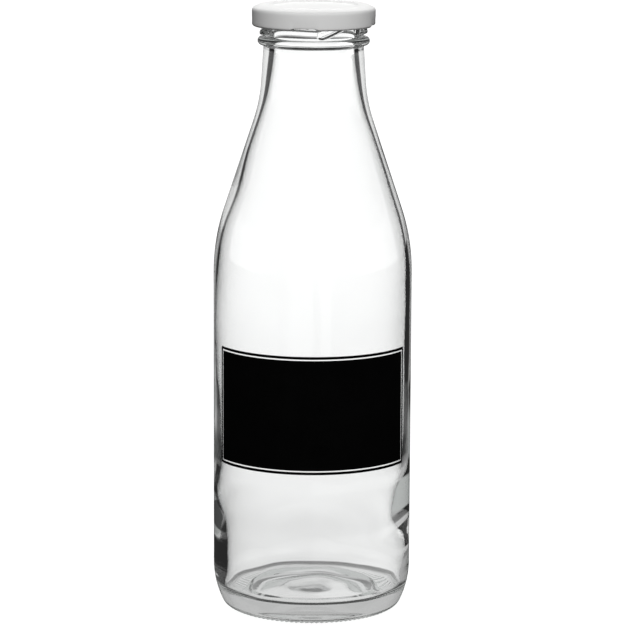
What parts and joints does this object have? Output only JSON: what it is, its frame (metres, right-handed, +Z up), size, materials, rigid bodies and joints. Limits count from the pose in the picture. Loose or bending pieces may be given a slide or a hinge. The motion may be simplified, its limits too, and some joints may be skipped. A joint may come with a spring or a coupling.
{
  "type": "glass milk bottle",
  "caption": "Tall clear glass milk bottle with a long sloping shoulder, a white twist-off metal lid that turns and lifts off, and a black chalkboard print on the front.",
  "frame": {"origin": "middle of the bearing ring that the bottle stands on, on the bottle's axis", "axes": "+Z up along the bottle's axis, -Y the printed front, +X to the right of someone facing the print"},
  "size_m": [0.084, 0.0841, 0.258],
  "materials": {
    "clear_glass": "clear, smooth, slightly uneven inside",
    "white_lacquer": "satin white lacquer on sheet metal",
    "seal_compound": "soft matt compound",
    "black_print": "matt black chalkboard print"
  },
  "bodies": {
    "bottle": {"bottle": "clear_glass", "label_panel": "black_print", "label_border": "black_print"},
    "seal": {"cap_liner": "seal_compound"},
    "lid": {"cap_shell": "white_lacquer"}
  },
  "joints": [
    {"name": "cap_lift", "type": "slide", "parent": "bottle", "child": "seal", "axis": [0, 0, 1], "range_m": [0, 0.08]},
    {"name": "cap_twist", "type": "hinge", "parent": "seal", "child": "lid", "pos_m": [0, 0, 0.2535], "axis": [0, 0, 1], "range_deg": [-28, 0]}
  ]
}
